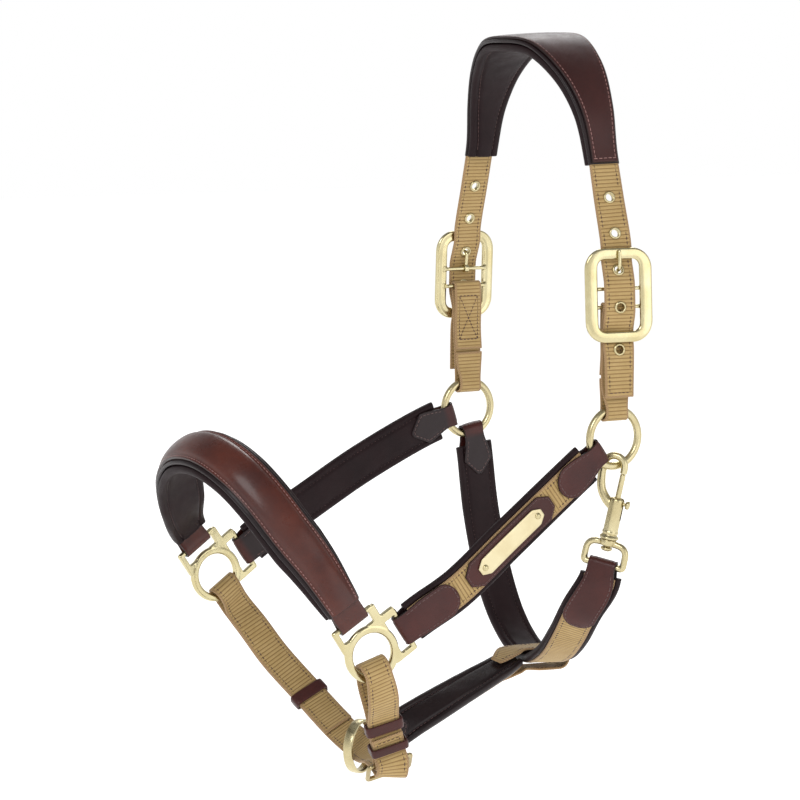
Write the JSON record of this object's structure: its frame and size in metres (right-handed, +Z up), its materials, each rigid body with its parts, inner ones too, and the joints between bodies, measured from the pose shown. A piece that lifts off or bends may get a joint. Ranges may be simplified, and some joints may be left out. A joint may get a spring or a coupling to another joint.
{
  "type": "horse headcollar",
  "caption": "Padded horse headcollar of webbing and leather with rings, side buckles, squares, chin strap and a throat strap closed by a swivel snap.",
  "frame": {"origin": "middle of the underside of the padded crown, where it lies on the poll", "axes": "+Z up, -Y towards the nose, +X towards the horse's left (near) side"},
  "size_m": [0.2429, 0.3536, 0.5667],
  "materials": {
    "havana_leather": "soft gloss burgundy brown",
    "lining_leather": "soft satin, very dark brown",
    "webbing": "ribbed weave, matte",
    "core_felt": "matte felt",
    "hardware_brass": "polished, pale gold",
    "plate_brass": "brushed satin, blank",
    "spring_steel": "plain"
  },
  "bodies": {
    "headpiece": {"crown_cover": "havana_leather", "crown_lining": "lining_leather", "billet_left": "webbing", "billet_right": "webbing", "eyelet_left_1": "hardware_brass", "eyelet_left_2": "hardware_brass", "eyelet_left_3": "hardware_brass", "eyelet_left_4": "hardware_brass", "eyelet_left_5": "hardware_brass", "eyelet_right_1": "hardware_brass", "eyelet_right_2": "hardware_brass", "eyelet_right_3": "hardware_brass", "eyelet_right_4": "hardware_brass", "eyelet_right_5": "hardware_brass", "buckle_frame_left": "hardware_brass", "buckle_frame_right": "hardware_brass", "chape_left": "webbing", "chape_right": "webbing"},
    "tongue_left": {"buckle_tongue_left": "hardware_brass"},
    "tongue_right": {"buckle_tongue_right": "hardware_brass"},
    "ring_left": {"cheek_ring_left": "hardware_brass"},
    "ring_right": {"cheek_ring_right": "hardware_brass"},
    "face": {"cheek_left_webbing": "webbing", "cheek_left_lining": "lining_leather", "cheek_right_webbing": "webbing", "cheek_right_lining": "lining_leather", "cheek_tab_upper_left": "havana_leather", "cheek_tab_lower_left": "havana_leather", "cheek_tab_upper_right": "havana_leather", "cheek_tab_lower_right": "havana_leather", "plate_patch": "havana_leather", "plate_rivet_1": "hardware_brass", "plate_rivet_2": "hardware_brass", "name_plate": "plate_brass", "square_left": "hardware_brass", "square_right": "hardware_brass", "nose_cover": "havana_leather", "nose_lining": "lining_leather", "nose_core": "core_felt", "nose_loop_left": "havana_leather", "nose_loop_right": "havana_leather"},
    "chin": {"chin_strap": "webbing", "chin_chape": "webbing", "chin_buckle": "hardware_brass"},
    "keeper_far": {"chin_keeper_far": "havana_leather"},
    "keeper_upper": {"chin_keeper_upper": "havana_leather"},
    "keeper_lower": {"chin_keeper_lower": "havana_leather"},
    "throat": {"throat_webbing": "webbing", "throat_lining": "lining_leather", "throat_tab_right": "havana_leather", "throat_tab_left": "havana_leather", "snap_eye": "hardware_brass"},
    "snap": {"snap_body": "hardware_brass", "snap_spring": "spring_steel"},
    "bolt": {"snap_bolt": "hardware_brass"},
    "jowl": {"jowl_webbing": "webbing", "jowl_lining": "lining_leather", "jowl_tab": "havana_leather", "jowl_loop": "webbing"},
    "chin_ring": {"chin_ring": "hardware_brass"}
  },
  "joints": [
    {"name": "tongue_left_hinge", "type": "hinge", "parent": "headpiece", "child": "tongue_left", "pos_m": [0.11167, 0.01167, -0.18031], "axis": [0.2331, 0.9724, 0.012], "range_deg": [0, 2]},
    {"name": "tongue_right_hinge", "type": "hinge", "parent": "headpiece", "child": "tongue_right", "pos_m": [-0.11171, 0.012, -0.1803], "axis": [0, -1, 0], "range_deg": [0, 2]},
    {"name": "ring_left_turn", "type": "hinge", "parent": "headpiece", "child": "ring_left", "pos_m": [0.108, 0.012, -0.294], "axis": [1, 0, 0], "continuous": true},
    {"name": "ring_right_turn", "type": "hinge", "parent": "headpiece", "child": "ring_right", "pos_m": [-0.108, 0.012, -0.294], "axis": [1, 0, 0], "continuous": true},
    {"name": "face_swing", "type": "hinge", "parent": "headpiece", "child": "face", "pos_m": [0, 0.012, -0.294], "axis": [1, 0, 0], "range_deg": [-30, 60]},
    {"name": "chin_swing", "type": "hinge", "parent": "face", "child": "chin", "pos_m": [-0.00021, -0.20403, -0.44373], "axis": [0.9865, 0.0685, -0.149], "range_deg": [-2, 4]},
    {"name": "throat_swing", "type": "hinge", "parent": "face", "child": "throat", "pos_m": [0, 0.012, -0.294], "axis": [1, 0, 0], "range_deg": [-1.5, 2.5]},
    {"name": "jowl_hinge", "type": "hinge", "parent": "throat", "child": "jowl", "pos_m": [-0.01371, 0.02195, -0.49049], "axis": [0.9868, -0.159, 0.032], "range_deg": [-3.5, 1.5]},
    {"name": "chin_ring_turn", "type": "hinge", "parent": "jowl", "child": "chin_ring", "pos_m": [0.02, -0.162, -0.5325], "axis": [0.8386, 0.5447, 0], "continuous": true},
    {"name": "snap_swivel", "type": "hinge", "parent": "throat", "child": "snap", "pos_m": [0.1065, 0.0086, -0.374], "axis": [0.135, 0.16, 0.9778], "range_deg": [-6, 0]},
    {"name": "snap_bolt_slide", "type": "slide", "parent": "snap", "child": "bolt", "axis": [-0.135, -0.16, -0.9778], "range_m": [0, 0.008], "stiffness_N_per_m": 150},
    {"name": "keeper_far_slide", "type": "slide", "parent": "chin", "child": "keeper_far", "axis": [0.8031, 0.243, -0.5441], "range_m": [-0.005, 0.005]},
    {"name": "keeper_upper_slide", "type": "slide", "parent": "chin", "child": "keeper_upper", "axis": [-0.3099, 0.3248, -0.8936], "range_m": [-0.002, 0.002]},
    {"name": "keeper_lower_slide", "type": "slide", "parent": "chin", "child": "keeper_lower", "axis": [-0.29, 0.32, -0.902], "range_m": [-0.002, 0.002]}
  ],
  "couplings": [
    {"joint": "throat_swing", "follows": "chin_swing", "ratio": 0.4923},
    {"joint": "jowl_hinge", "follows": "chin_swing", "ratio": -0.6784}
  ]
}
